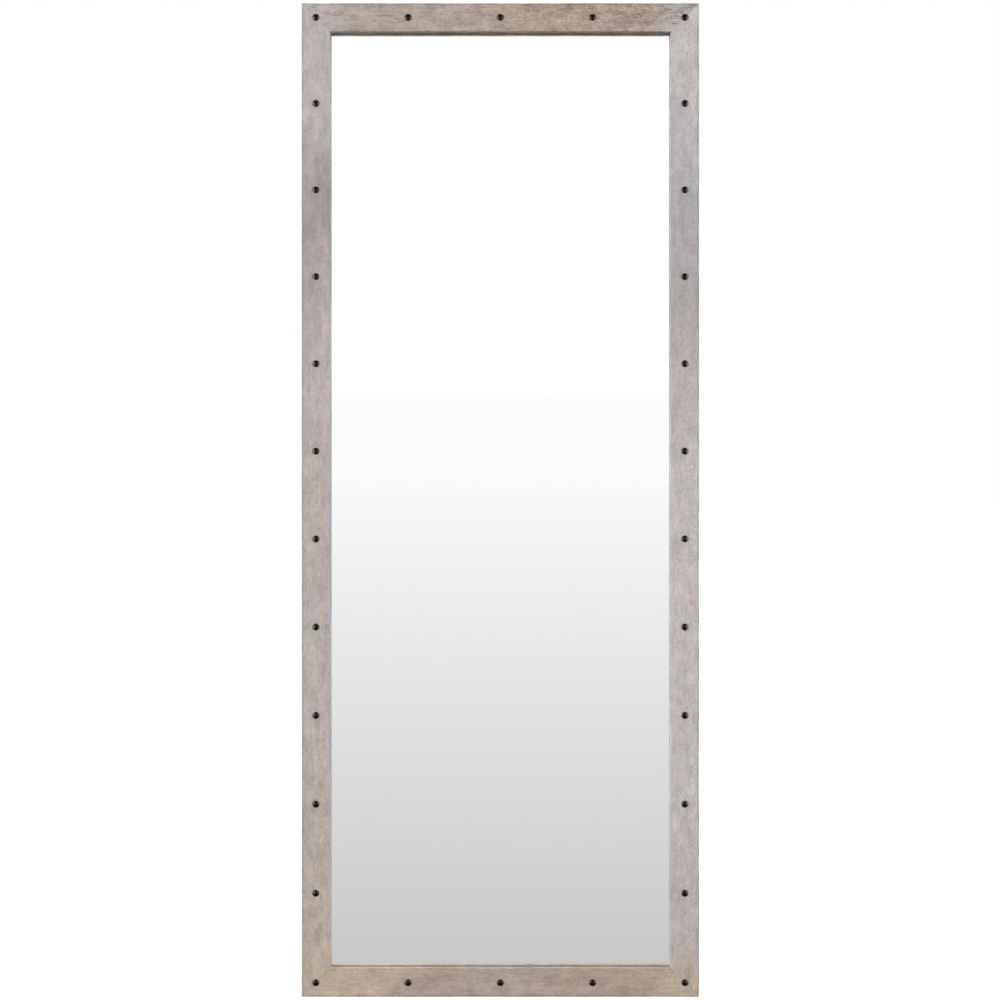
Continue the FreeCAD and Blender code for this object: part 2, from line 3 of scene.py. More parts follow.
import bmesh
import bpy
import numpy as np
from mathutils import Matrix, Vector


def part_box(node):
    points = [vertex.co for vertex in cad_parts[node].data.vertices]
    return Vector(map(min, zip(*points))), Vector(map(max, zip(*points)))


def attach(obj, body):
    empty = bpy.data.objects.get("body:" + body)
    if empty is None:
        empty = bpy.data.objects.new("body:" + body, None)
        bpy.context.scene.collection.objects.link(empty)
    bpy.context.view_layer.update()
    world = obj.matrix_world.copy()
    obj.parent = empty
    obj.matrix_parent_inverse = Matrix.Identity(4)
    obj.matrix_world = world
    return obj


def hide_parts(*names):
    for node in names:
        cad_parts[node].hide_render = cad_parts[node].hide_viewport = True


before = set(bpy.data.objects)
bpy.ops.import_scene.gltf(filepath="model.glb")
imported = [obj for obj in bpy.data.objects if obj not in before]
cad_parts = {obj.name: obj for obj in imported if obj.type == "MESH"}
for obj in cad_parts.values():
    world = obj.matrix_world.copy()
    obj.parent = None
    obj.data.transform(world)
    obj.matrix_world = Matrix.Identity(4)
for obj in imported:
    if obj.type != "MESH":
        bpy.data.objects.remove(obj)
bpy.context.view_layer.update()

# The tall accent mirror: metres, +X to the right seen from the front, +Z up, the glass faces -Y

MM = 0.001

# Room round the glass and the board in their rebates, and the rails' eased edges
GLASS_CLEARANCE = 2 * MM
BOARD_CLEARANCE = 1 * MM
ARRIS = 1 * MM
BACK_ARRIS = 0.4 * MM

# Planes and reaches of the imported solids
HALF_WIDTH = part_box("right_stile")[1].x
HALF_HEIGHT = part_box("top_rail")[1].z
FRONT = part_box("top_rail")[0].y
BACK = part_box("top_rail")[1].y
RAIL_FACE = HALF_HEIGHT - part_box("top_rail")[0].z
PANE_LOW, PANE_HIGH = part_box("mirror_pane")
BOARD_LOW, BOARD_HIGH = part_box("backing_board")
GLASS_LAND = HALF_WIDTH - PANE_HIGH.x - GLASS_CLEARANCE
BACK_LAND = HALF_WIDTH - BOARD_HIGH.x - BOARD_CLEARANCE
LIP_DEPTH = PANE_LOW.y - FRONT
LEDGE_DEPTH = BOARD_LOW.y - FRONT
RAIL_DEPTH = BACK - FRONT

# How close points are welded, and to how many digits heights are rounded to make one row
WELD_DISTANCE = 0.001 * MM
ROW_DIGITS = 4


def solids_of(node):
    """The low and high corner of each separate solid of a CAD node."""
    shape = bmesh.new()
    shape.from_mesh(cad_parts[node].data)
    bmesh.ops.remove_doubles(shape, verts=shape.verts, dist=WELD_DISTANCE)
    waiting = set(shape.verts)
    solids = []
    while waiting:
        found, edge = set(), [waiting.pop()]
        while edge:
            vertex = edge.pop()
            found.add(vertex)
            for link in vertex.link_edges:
                other = link.other_vert(vertex)
                if other in waiting:
                    waiting.remove(other)
                    edge.append(other)
        places = [vertex.co for vertex in found]
        low = Vector([min(place[axis] for place in places) for axis in range(3)])
        high = Vector([max(place[axis] for place in places) for axis in range(3)])
        solids.append((low, high))
    shape.free()
    return sorted(solids, key=lambda corners: (round(corners[0].z, ROW_DIGITS), corners[0].x))


NAIL_NODES = ("nailheads_top", "nailheads_bottom", "nailheads_left", "nailheads_right")
NAILS = {node: solids_of(node) for node in NAIL_NODES}
NAIL_PLACES = np.array([((low.x + high.x) / 2, (low.z + high.z) / 2)
                        for solids in NAILS.values() for low, high in solids])
FIRST_NAIL_LOW, FIRST_NAIL_HIGH = NAILS["nailheads_top"][0]
NAIL_RADIUS = (FIRST_NAIL_HIGH.x - FIRST_NAIL_LOW.x) / 2

# The curve of a screen, between linear levels and the levels that colours are written in
CURVE_FOOT = 0.04045
CURVE_SLOPE = 12.92
CURVE_OFFSET = 0.055
CURVE_POWER = 2.4


def tint(red, green, blue):
    """A colour as it is written on screen, 0 to 255, in the linear values that shaders take."""
    def linear(level):
        share = level / 255
        if share <= CURVE_FOOT:
            return share / CURVE_SLOPE
        return ((share + CURVE_OFFSET) / (1 + CURVE_OFFSET)) ** CURVE_POWER
    return (linear(red), linear(green), linear(blue), 1.0)


def grey(level):
    return tint(level, level, level)


# Short calls for shader nodes

class Shader:
    """The node tree of a material or of the world, with one method for each kind of node."""

    def __init__(self, owner):
        owner.use_nodes = True
        self.owner = owner
        self.nodes = owner.node_tree.nodes
        self.links = owner.node_tree.links

    def feed(self, socket, item):
        """Links a socket to the item, or sets it where the item is a number or a colour."""
        if isinstance(item, bpy.types.NodeSocket):
            self.links.new(item, socket)
        else:
            socket.default_value = item

    def principled(self, **sockets):
        """Sets the sockets of the surface, their names written with underscores."""
        node = self.nodes["Principled BSDF"]
        for name, item in sockets.items():
            self.feed(node.inputs[name.replace("_", " ")], item)

    def math(self, operation, first, second=0.0):
        node = self.nodes.new("ShaderNodeMath")
        node.operation = operation
        self.feed(node.inputs[0], first)
        self.feed(node.inputs[1], second)
        return node.outputs[0]

    def add(self, *items):
        total = items[0]
        for item in items[1:]:
            total = self.math("ADD", total, item)
        return total

    def times(self, *items):
        product = items[0]
        for item in items[1:]:
            product = self.math("MULTIPLY", product, item)
        return product

    def less(self, first, second):
        return self.math("SUBTRACT", first, second)

    def span(self, item, low, high, to_low=0.0, to_high=1.0):
        """Item from low to high, eased at both ends, becomes to_low to to_high."""
        node = self.nodes.new("ShaderNodeMapRange")
        node.interpolation_type = "SMOOTHSTEP"
        for socket, setting in zip(node.inputs, (item, low, high, to_low, to_high)):
            self.feed(socket, setting)
        return node.outputs[0]

    def attribute(self, name):
        node = self.nodes.new("ShaderNodeAttribute")
        node.attribute_name = name
        return node.outputs["Fac"]

    def place(self, output="Object"):
        """The coordinates across, backwards and up."""
        coordinates = self.nodes.new("ShaderNodeTexCoord")
        split = self.nodes.new("ShaderNodeSeparateXYZ")
        self.links.new(coordinates.outputs[output], split.inputs[0])
        return split.outputs[0], split.outputs[1], split.outputs[2]

    def join(self, *items):
        node = self.nodes.new("ShaderNodeCombineXYZ")
        for socket, item in zip(node.inputs, items):
            self.feed(socket, item)
        return node.outputs[0]

    def stretched(self, vector, across, along):
        """A vector whose cells are that large across and along the grain."""
        node = self.nodes.new("ShaderNodeVectorMath")
        node.operation = "MULTIPLY"
        self.feed(node.inputs[0], vector)
        self.feed(node.inputs[1], (1 / across, 1 / along, 1 / across))
        return node.outputs[0]

    def noise(self, vector, detail=2.0, roughness=0.5, distortion=0.0, seed=0.0):
        node = self.nodes.new("ShaderNodeTexNoise")
        node.noise_dimensions = "4D"
        self.feed(node.inputs["Vector"], vector)
        self.feed(node.inputs["W"], seed)
        self.feed(node.inputs["Scale"], 1.0)
        self.feed(node.inputs["Detail"], detail)
        self.feed(node.inputs["Roughness"], roughness)
        self.feed(node.inputs["Distortion"], distortion)
        return node.outputs[0]

    def cells(self, vector):
        """Soft round cells, dark in their middles."""
        node = self.nodes.new("ShaderNodeTexVoronoi")
        node.feature = "SMOOTH_F1"
        self.feed(node.inputs["Vector"], vector)
        self.feed(node.inputs["Scale"], 1.0)
        return node.outputs["Distance"]

    def ramp(self, item, stops):
        """A colour for item between stops of (position, colour)."""
        node = self.nodes.new("ShaderNodeValToRGB")
        node.color_ramp.interpolation = "EASE"
        elements = node.color_ramp.elements
        while len(elements) < len(stops):
            elements.new(0.5)
        for element, (position, colour) in zip(elements, stops):
            element.position = position
            element.color = colour
        self.feed(node.inputs[0], item)
        return node.outputs[0]

    def blend(self, share, first, second, mode="MIX"):
        node = self.nodes.new("ShaderNodeMix")
        node.data_type = "RGBA"
        node.blend_type = mode
        self.feed(node.inputs["Factor"], share)
        self.feed(node.inputs[6], first)
        self.feed(node.inputs[7], second)
        return node.outputs[2]

    def shaded(self, colour, level):
        """The colour at that level of brightness."""
        node = self.nodes.new("ShaderNodeVectorMath")
        node.operation = "SCALE"
        self.feed(node.inputs[0], colour if isinstance(colour, bpy.types.NodeSocket) else colour[:3])
        self.feed(node.inputs["Scale"], level)
        return node.outputs[0]

    def bump(self, height, depth, strength):
        node = self.nodes.new("ShaderNodeBump")
        self.feed(node.inputs["Strength"], strength)
        self.feed(node.inputs["Distance"], depth)
        self.feed(node.inputs["Height"], height)
        return node.outputs[0]


def new_material(name):
    return Shader(bpy.data.materials.new(name))


# Limed wood

PALE_GREY = tint(197, 190, 190)
PINK_GREY = tint(189, 180, 180)
WARM_GREY = tint(185, 177, 173)
SOFT_GREY = tint(187, 180, 177)
DUSKY_GREY = tint(171, 163, 163)
DARK_GREY = tint(164, 155, 154)
MISTY_GREY = tint(176, 169, 170)
COOL_GREY = tint(178, 174, 178)
COOL_PALE_GREY = tint(188, 184, 187)
SAND = tint(193, 175, 160)
DUSKY_SAND = tint(188, 175, 165)
PALE_TAN = tint(178, 164, 155)
TAN = tint(176, 159, 147)
BROWN = tint(104, 84, 76)
GOLD = tint(206, 178, 148)
ROSE_CAST = tint(255, 251, 252)
OLIVE_CAST = tint(250, 252, 247)
RAW_WOOD = tint(196, 164, 122)
RAW_WOOD_DARK = tint(158, 120, 80)

# How each rail is finished. Tones run from its left or bottom end to the other end, and so do the
# pairs of shares: how much the tone varies, how dark the marks are, how curly the lines of the
# figure are, and how much of the golden wood shows through. The last three shares say how strong
# the saw's ripple is, how dark the inner edge is, and how much painted light makes the wall behind it
# paler.
FINISHES = {
    "top_rail": {
        "seed": 1.0,
        "tones": [(0.0, PINK_GREY), (0.06, WARM_GREY), (0.14, PALE_TAN), (0.4, PALE_TAN),
                  (0.56, TAN), (0.86, TAN), (0.95, WARM_GREY), (1.0, PINK_GREY)],
        "contrast_shares": (1.3, 2.2),
        "mark_shares": (1.0, 1.1),
        "figure_shares": (0.5, 1.8),
        "gold_shares": (0.1, 0.4),
        "ripple_share": 0.0,
        "edge_share": 0.05,
        "wall_painted_light_share": 0.0,
    },
    "bottom_rail": {
        "seed": 2.0,
        "tones": [(0.0, SAND), (0.2, SAND), (0.34, TAN), (0.5, PALE_TAN), (0.7, TAN),
                  (0.84, TAN), (0.94, SAND), (1.0, SAND)],
        "contrast_shares": (1.25, 1.35),
        "mark_shares": (0.15, 0.3),
        "figure_shares": (0.15, 0.3),
        "gold_shares": (0.6, 0.3),
        "ripple_share": 0.1,
        "edge_share": 0.42,
        "wall_painted_light_share": 0.0,
    },
    "left_stile": {
        "seed": 3.0,
        "tones": [(0.0, SAND), (0.08, DUSKY_SAND), (0.22, WARM_GREY), (0.38, SOFT_GREY),
                  (0.5, WARM_GREY), (0.64, PINK_GREY), (0.74, DUSKY_GREY), (0.81, DARK_GREY),
                  (0.88, PINK_GREY), (1.0, PINK_GREY)],
        "contrast_shares": (1.25, 1.1),
        "mark_shares": (0.55, 0.15),
        "figure_shares": (0.5, 0.25),
        "gold_shares": (0.5, 0.0),
        "ripple_share": 0.2,
        "edge_share": 0.05,
        "wall_painted_light_share": 0.42,
    },
    "right_stile": {
        "seed": 4.0,
        "tones": [(0.0, SAND), (0.03, DUSKY_SAND), (0.06, PINK_GREY), (0.2, PALE_GREY),
                  (0.52, PALE_GREY), (0.64, PINK_GREY), (0.72, MISTY_GREY), (0.8, COOL_GREY),
                  (0.88, COOL_PALE_GREY), (0.9, PALE_GREY), (1.0, PALE_GREY)],
        "contrast_shares": (1.1, 1.1),
        "mark_shares": (0.3, 0.3),
        "figure_shares": (0.45, 0.45),
        "gold_shares": (0.1, 0.0),
        "ripple_share": 1.0,
        "edge_share": 0.02,
        "wall_painted_light_share": 0.55,
    },
}

# The noises in the wood: a number, the cells across and along the grain in millimetres, and the
# detail, roughness and distortion
PATTERNS = {
    "borders": (1, 90, 220, 2.0, 0.5, 0.0),
    "casts": (2, 16, 50, 3.0, 0.5, 0.0),
    "gold": (3, 12, 15, 4.0, 0.5, 0.0),
    "clouds": (4, 17, 36, 2.0, 0.5, 0.0),
    "patches": (5, 5, 10, 4.0, 0.62, 0.4),
    "streaks": (6, 2.6, 52, 3.0, 0.62, 0.0),
    "fibres": (7, 1.1, 5, 2.0, 0.6, 0.0),
    "dashes": (8, 2.8, 18, 3.0, 0.5, 0.8),
    "dashed_parts": (9, 14, 60, 2.0, 0.5, 0.0),
    "curls": (10, 8, 22, 2.5, 0.5, 1.6),
    "curled_parts": (11, 12, 26, 2.0, 0.5, 0.0),
    "pores": (12, 1.2, 8, 1.0, 0.5, 0.0),
    "saw_wander": (13, 9, 9, 3.0, 0.5, 0.0),
    "sawn_parts": (14, 14, 24, 2.0, 0.5, 0.0),
    "uneven_edge_parts": (15, 12, 16, 2.0, 0.5, 0.0),
    "rings": (16, 9, 160, 3.0, 0.5, 0.6),
    "smudges": (17, 7, 5, 3.0, 0.5, 0.0),
}

# What makes the wash uneven, and what stands up from the wood, at what shares
WASH_SHARES = {"clouds": 0.52, "patches": 0.5, "smudges": 0.28, "streaks": 0.38, "fibres": 0.34}
RELIEF_SHARES = {"streaks": 0.35, "fibres": 0.3, "patches": 0.3}
RELIEF_DEPTH = 0.25 * MM

# Wandering borders between tones, and the stretch of a rail over which pairs of shares change
BORDER_SHARE = 0.22
CHANGE_SHARES = (0.2, 0.9)
GOLD_SHARE = 0.4
RAW_FIBRE_SHARE = 0.16

# Curly lines, by the noise that bends them, and how dark and how deep all marks are
CURL_TURNS = 6.0
CURL_WIDTH_SHARE = 0.17
DASH_DARK_SHARE = 0.75
CURL_DARK_SHARE = 0.55
MARK_DEPTH_SHARE = 0.35
PORE_DARK_SHARE = 0.2
PORE_DEPTH_SHARE = 0.4

# The ripple that a saw left
RIPPLE_PITCH = 5.8 * MM
RIPPLE_SLOPE = math.radians(35)
RIPPLE_WANDER = 22.0
RIPPLE_TONE_SHARE = 0.13
RIPPLE_DEPTH_SHARE = 0.2

# Where each thing that follows an edge or a nail is still full and where it ends, and its share
RIPPLE_REACH = (20 * MM, 30 * MM, 1.0)
PAINTED_HALO_REACH = (NAIL_RADIUS + 0.15 * MM, NAIL_RADIUS + 3.25 * MM, 0.32)
OUTER_EDGE_REACH = (0.8 * MM, 6 * MM, 0.19)
INNER_EDGE_REACH = (0.4 * MM, 2 * MM)
MITRE_REACH = (0.1 * MM, 0.9 * MM, 0.16)


class Wood(Shader):
    """The shader of one rail, whose patterns lie along its grain."""

    def __init__(self, name, upright, half_length, finish):
        super().__init__(bpy.data.materials.new(name))
        x, y, z = self.place()
        self.across, self.along = (x, z) if upright else (z, x)
        self.grain = self.join(self.across, self.along, y)
        self.finish = finish
        self.made = {}
        self.share = self.add(self.times(self.along, 0.5 / half_length), 0.5,
                              self.times(self.pattern("borders"), BORDER_SHARE))

    def pattern(self, name):
        """Noise from about -0.3 to 0.3, made once."""
        if name not in self.made:
            number, across, along, detail, roughness, distortion = PATTERNS[name]
            vector = self.stretched(self.grain, across * MM, along * MM)
            noise = self.noise(vector, detail, roughness, distortion,
                               self.finish["seed"] + 10 * number)
            self.made[name] = self.less(noise, 0.5)
        return self.made[name]

    def parts(self, name, low, high, to_low=0.0, to_high=1.0):
        """The parts of the wood where a pattern goes from low to high."""
        return self.span(self.pattern(name), low, high, to_low, to_high)

    def mixed(self, shares):
        return self.add(*(self.times(self.pattern(name), share) for name, share in shares.items()))

    def along_rail(self, key):
        """A pair of the finish's shares, changing from one end of the rail to the other."""
        return self.span(self.share, *CHANGE_SHARES, *self.finish[key])

    def near(self, attribute, full, end, share):
        """The share close to an edge or a nail, which falls to nothing at the end."""
        return self.span(self.attribute(attribute), full, end, share, 0.0)

    def tones(self):
        """Broad tones along the rail, rose and olive casts, and golden wood under thin wash."""
        colour = self.ramp(self.share, self.finish["tones"])
        cast = self.blend(self.parts("casts", -0.15, 0.15), ROSE_CAST, OLIVE_CAST)
        colour = self.blend(1.0, colour, cast, "MULTIPLY")
        golden = self.times(self.parts("gold", -0.02, 0.2), self.along_rail("gold_shares"),
                            GOLD_SHARE)
        return self.blend(golden, colour, GOLD)

    def dark_marks(self):
        """Long marks along the grain, and thin wavy lines that curl like grain round a knot."""
        dashes = self.times(self.parts("dashes", 0.04, 0.2), self.parts("dashed_parts", -0.1, 0.08),
                            self.along_rail("mark_shares"))
        lines = self.math("PINGPONG", self.times(self.pattern("curls"), CURL_TURNS), 0.5)
        lines = self.times(self.span(lines, 0.0, CURL_WIDTH_SHARE, 1.0, 0.0),
                           self.parts("curled_parts", -0.08, 0.1), self.along_rail("figure_shares"))
        return self.math("MAXIMUM", self.times(dashes, DASH_DARK_SHARE),
                         self.times(lines, CURL_DARK_SHARE))

    def saw_ripple(self):
        """Slanting waves in parts of the rail's outer half."""
        slant = self.add(self.times(self.along, math.cos(RIPPLE_SLOPE)),
                         self.times(self.across, -math.sin(RIPPLE_SLOPE)))
        turns = self.add(self.times(slant, math.tau / RIPPLE_PITCH),
                         self.times(self.pattern("saw_wander"), RIPPLE_WANDER))
        return self.times(self.math("SINE", turns), self.near("outer_arris", *RIPPLE_REACH),
                          self.parts("sawn_parts", -0.08, 0.14), self.finish["ripple_share"])

    def darker_edges(self):
        """How much darker the face is along its edges and its mitres."""
        on_face = self.less(1.0, self.attribute("inner_wall"))
        outer = self.near("outer_arris", *OUTER_EDGE_REACH)
        inner = self.near("inner_arris", *INNER_EDGE_REACH, self.finish["edge_share"])
        edges = self.times(self.add(outer, self.times(inner, on_face)),
                           self.parts("uneven_edge_parts", -0.2, 0.2, 0.4, 1.3))
        return self.add(edges, self.near("mitre_distance", *MITRE_REACH))

    def raw_wood(self):
        """The wood of the back and the rebates, which were never washed."""
        rings = self.blend(self.parts("rings", -0.08, 0.12), RAW_WOOD, RAW_WOOD_DARK)
        fibres = self.times(self.pattern("fibres"), RAW_FIBRE_SHARE)
        return self.shaded(rings, self.add(1.0, fibres))


def limed_wood(name, upright, half_length, finish):
    """Open grained wood under a thin pale wash, its grain along the rail."""
    wood = Wood(name, upright, half_length, finish)
    dark = wood.dark_marks()
    pores = wood.parts("pores", 0.15, 0.25)
    ripple = wood.saw_ripple()
    uneven = wood.times(wood.mixed(WASH_SHARES), wood.along_rail("contrast_shares"))
    # Painted light: the inner walls are made paler, as if lit from the sides and catching a sheen.
    wall = wood.times(wood.attribute("inner_wall"), finish["wall_painted_light_share"])

    colour = wood.blend(dark, wood.tones(), BROWN)
    # Painted light: a pale ring round each nailhead, which lightens the wood where the nailheads cast
    # their shadows.
    colour = wood.blend(wood.near("nail_distance", *PAINTED_HALO_REACH), colour, PALE_GREY)
    level = wood.add(1.0, uneven, wall, wood.times(ripple, RIPPLE_TONE_SHARE),
                     wood.times(pores, -PORE_DARK_SHARE))
    # The face is darker along its outer and inner edges and along its mitres.
    level = wood.times(level, wood.less(1.0, wood.darker_edges()))
    colour = wood.shaded(colour, level)
    colour = wood.blend(wood.attribute("raw_share"), colour, wood.raw_wood())

    height = wood.add(wood.mixed(RELIEF_SHARES), wood.times(ripple, RIPPLE_DEPTH_SHARE),
                      wood.times(pores, -PORE_DEPTH_SHARE), wood.times(dark, -MARK_DEPTH_SHARE))
    wood.principled(
        Base_Color=colour,
        Roughness=wood.add(0.62, wood.times(wood.pattern("streaks"), 0.2)),
        Specular_IOR_Level=0.45,
        Normal=wood.bump(height, RELIEF_DEPTH, 0.7),
    )
    return wood.owner


# Smooth random relief

SHORT_WAVE_SHARE = 0.6
SEEDS_APART = 100


def relief(first, second, cell, seed):
    """Waves from -1 to 1 over two coordinates, random at the corners of cells of that size."""
    size = 256
    table = np.random.default_rng(seed).uniform(-1, 1, (size, size))
    u, v = first / cell[0], second / cell[1]
    u_cell, v_cell = np.floor(u).astype(int), np.floor(v).astype(int)
    u_share, v_share = u - u_cell, v - v_cell
    u_share = u_share * u_share * (3 - 2 * u_share)
    v_share = v_share * v_share * (3 - 2 * v_share)

    def corner(du, dv):
        return table[(u_cell + du) % size, (v_cell + dv) % size]

    low = corner(0, 0) * (1 - u_share) + corner(1, 0) * u_share
    high = corner(0, 1) * (1 - u_share) + corner(1, 1) * u_share
    return low * (1 - v_share) + high * v_share


def hollows(first, second, cell, seed):
    """The same waves, from 0 to 1."""
    return 0.5 + 0.5 * relief(first, second, cell, seed)


def wear(along, long_cell, short_cell, seed):
    """Wear from 0 to 1 that comes and goes along an edge."""
    nowhere = along * 0
    long_waves = relief(along, nowhere, (long_cell, 1), seed)
    short_waves = relief(along, nowhere, (short_cell, 1), seed + 1)
    return np.clip(long_waves + SHORT_WAVE_SHARE * short_waves, 0, 1)


def eased(distance, reach):
    """1 at no distance, 0 from reach on, with a smooth fall between."""
    share = np.clip(1 - distance / reach, 0, 1)
    return share * share * (3 - 2 * share)


# Meshes

SHARP_ANGLE = math.radians(35)


def new_piece(name, points, faces, smooth=True):
    mesh = bpy.data.meshes.new(name)
    mesh.from_pydata([tuple(point) for point in points], [], [tuple(face) for face in faces])
    shape = bmesh.new()
    shape.from_mesh(mesh)
    bmesh.ops.recalc_face_normals(shape, faces=shape.faces)
    shape.to_mesh(mesh)
    shape.free()
    piece = bpy.data.objects.new(name, mesh)
    bpy.context.scene.collection.objects.link(piece)
    if smooth:
        mesh.shade_smooth()
        mesh.set_sharp_from_angle(angle=SHARP_ANGLE)
    return piece


def gather(name, parts):
    """One piece from several lots of points and faces."""
    points, faces = [], []
    for part_points, part_faces in parts:
        start = len(points)
        points.extend(part_points)
        faces.extend([start + number for number in face] for face in part_faces)
    return new_piece(name, points, faces)


def dress(piece, *materials):
    piece.data.materials.clear()
    for material in materials:
        piece.data.materials.append(material)
    return piece


def turned_faces(rings, segments, first):
    """Faces of a turned form: a fan round point 0, then quads from ring to ring. The rings'
    points are numbered from first on. The last ring's numbers come as well."""
    def at(ring, segment):
        return first + ring * segments + segment % segments

    faces = [(0, at(0, segment), at(0, segment + 1)) for segment in range(segments)]
    for ring in range(rings - 1):
        faces += [(at(ring, segment), at(ring + 1, segment), at(ring + 1, segment + 1),
                   at(ring, segment + 1)) for segment in range(segments)]
    return faces, [at(rings - 1, segment) for segment in range(segments)]


# Rails

# Steps of the section's points and of the rows along a rail
FINE = 0.6 * MM
MEDIUM = 1.7 * MM
COARSE = 4 * MM
ARC_STEPS = 4
END_ROWS = np.array([0, 0.25, 0.6, 1.1, 1.9]) * MM
MIDDLE_START = 3.2 * MM
MIDDLE_STEP = 2.3 * MM

# Wear on the arrises: its depth, its reach, and its long and short waves
OUTER_WEAR = 0.4 * MM
INNER_WEAR = 0.45 * MM
WEAR_REACH = 3 * MM
OUTER_WAVES = (24 * MM, 7 * MM)
INNER_WAVES = (46 * MM, 13 * MM)

# Faces that are not quite flat: depths, and cells along and across
FACE_HOLLOW = 0.12 * MM
FACE_HOLLOW_CELL = (60 * MM, 18 * MM)
TOOL_MARK = 0.07 * MM
TOOL_MARK_CELL = (11 * MM, 4 * MM)
SIDE_HOLLOW = 0.12 * MM
SIDE_HOLLOW_CELL = (50 * MM, 12 * MM)

# Dents under the nailheads and open mitres: depth and reach
NAIL_DENT = 0.25 * MM
NAIL_DENT_REACH = 3.5 * MM
MITRE_DIP = 0.12 * MM
MITRE_DIP_REACH = 1 * MM

# Away from the face no nail is near, and the wash ends a little behind the lip
NO_NAIL = 30 * MM
WASH_END = LIP_DEPTH + 1 * MM


def path(start, *legs):
    """Points (reach, depth) from start on along legs of (end, step), the last end left out."""
    points = []
    for end, step in legs:
        count = max(1, round(math.dist(start, end) / step))
        points += [(start[0] + (end[0] - start[0]) * number / count,
                    start[1] + (end[1] - start[1]) * number / count) for number in range(count)]
        start = end
    return points


def corner_arc(centre, radius, first_angle):
    """Points on a quarter round from first_angle on, its end left out."""
    angles = [math.radians(first_angle + 90 * number / ARC_STEPS) for number in range(ARC_STEPS)]
    return [(centre[0] + radius * math.cos(angle), centre[1] + radius * math.sin(angle))
            for angle in angles]


def rail_section():
    """The rail's section as (reach from the outer edge, depth behind the front)."""
    border = ARRIS + 3 * FINE
    points = corner_arc((ARRIS, ARRIS), ARRIS, 180)
    points += path((ARRIS, 0), ((border, 0), FINE), ((RAIL_FACE - border, 0), MEDIUM),
                   ((RAIL_FACE - ARRIS, 0), FINE))
    points += corner_arc((RAIL_FACE - ARRIS, ARRIS), ARRIS, 270)
    points += path((RAIL_FACE, ARRIS), ((RAIL_FACE, border), FINE),
                   ((RAIL_FACE, LIP_DEPTH), MEDIUM), ((GLASS_LAND, LIP_DEPTH), COARSE),
                   ((GLASS_LAND, LEDGE_DEPTH), COARSE), ((BACK_LAND, LEDGE_DEPTH), COARSE),
                   ((BACK_LAND, RAIL_DEPTH), COARSE), ((BACK_ARRIS, RAIL_DEPTH), COARSE),
                   ((0, RAIL_DEPTH - BACK_ARRIS), COARSE), ((0, border), COARSE),
                   ((0, ARRIS), FINE))
    return np.array(points)


def row_shares(half_length):
    """Where the rows of a rail lie between its mitres, -1 to 1, closer together at the ends."""
    near_ends = END_ROWS / half_length
    middle_end = 1 - MIDDLE_START / half_length
    middle = np.linspace(-middle_end, middle_end, round(2 * half_length / MIDDLE_STEP))
    return np.concatenate((-1 + near_ends, middle, 1 - near_ends[::-1]))


def worn_down(along, reach, depth, to_nail, to_mitre, seed):
    """The reach and depth of a rail's points after wear, with dents, hollows and open mitres."""
    outer_wear = OUTER_WEAR * wear(along, *OUTER_WAVES, seed) * eased(reach + depth, WEAR_REACH)
    inner_wear = (INNER_WEAR * wear(along, *INNER_WAVES, seed + 2)
                  * eased(RAIL_FACE - reach + depth, WEAR_REACH))
    sunk = FACE_HOLLOW * hollows(along, reach, FACE_HOLLOW_CELL, seed + 4)
    sunk += TOOL_MARK * hollows(along, reach, TOOL_MARK_CELL, seed + 5)
    sunk += NAIL_DENT * eased(to_nail - NAIL_RADIUS, NAIL_DENT_REACH)
    sunk += MITRE_DIP * eased(to_mitre, MITRE_DIP_REACH)
    sides = SIDE_HOLLOW * hollows(along, depth, SIDE_HOLLOW_CELL, seed + 6)
    outer_side = np.where(reach < ARRIS / 2, 1.0, 0.0)
    inner_side = np.where((reach > RAIL_FACE - ARRIS / 2) & (depth < LIP_DEPTH), 1.0, 0.0)
    return (reach + outer_wear - inner_wear + sides * (outer_side - inner_side),
            depth + eased(depth, ARRIS) * sunk + outer_wear + inner_wear)


def tube_faces(rows, count):
    """Quads between rows of count points each, and a face at both ends."""
    numbers = np.arange(rows * count).reshape(rows, count)
    following = np.roll(numbers, -1, axis=1)
    faces = np.stack((numbers[:-1], numbers[1:], following[1:], following[:-1]), axis=-1)
    return faces.reshape(-1, 4).tolist() + [numbers[0].tolist(), numbers[-1].tolist()]


def make_rail(name, upright, side):
    """One rail: side is 1 for the right or top one and -1 for the left or bottom one."""
    half_length, edge = (HALF_HEIGHT, HALF_WIDTH) if upright else (HALF_WIDTH, HALF_HEIGHT)
    finish = FINISHES[name]
    section = rail_section()
    shares = row_shares(half_length)
    reach, depth = (np.tile(section[:, column], len(shares)) for column in (0, 1))
    along = np.repeat(shares, len(section)) * (half_length - reach)

    def placed(any_reach):
        """X and Z of the points at that reach."""
        across = side * (edge - any_reach)
        return (across, along) if upright else (along, across)

    x, z = placed(reach)
    to_nail = np.hypot(x[:, None] - NAIL_PLACES[:, 0], z[:, None] - NAIL_PLACES[:, 1]).min(axis=1)
    to_nail = np.where(depth < ARRIS, to_nail, NO_NAIL)
    to_mitre = (half_length - reach - np.abs(along)) / math.sqrt(2)
    worn_reach, worn_depth = worn_down(along, reach, depth, to_nail, to_mitre,
                                       SEEDS_APART * int(finish["seed"]))
    x, z = placed(worn_reach)
    points = np.stack((x, FRONT + worn_depth, z), axis=1)
    piece = new_piece(name, points, tube_faces(len(shares), len(section)))

    measures = {
        "nail_distance": to_nail,
        "outer_arris": reach + depth,
        "inner_arris": RAIL_FACE - reach + depth,
        "inner_wall": (reach > RAIL_FACE - ARRIS / 2) & (depth > ARRIS),
        "mitre_distance": to_mitre,
        "raw_share": (depth > WASH_END) & (reach > BACK_ARRIS / 2),
    }
    for attribute, values in measures.items():
        piece.data.attributes.new(attribute, "FLOAT", "POINT")
        piece.data.attributes[attribute].data.foreach_set("value", values.astype(np.float32))
    dress(piece, limed_wood(f"limed_wood_{name}", upright, half_length, finish))
    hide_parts(name)
    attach(piece, "frame")


# Nailheads

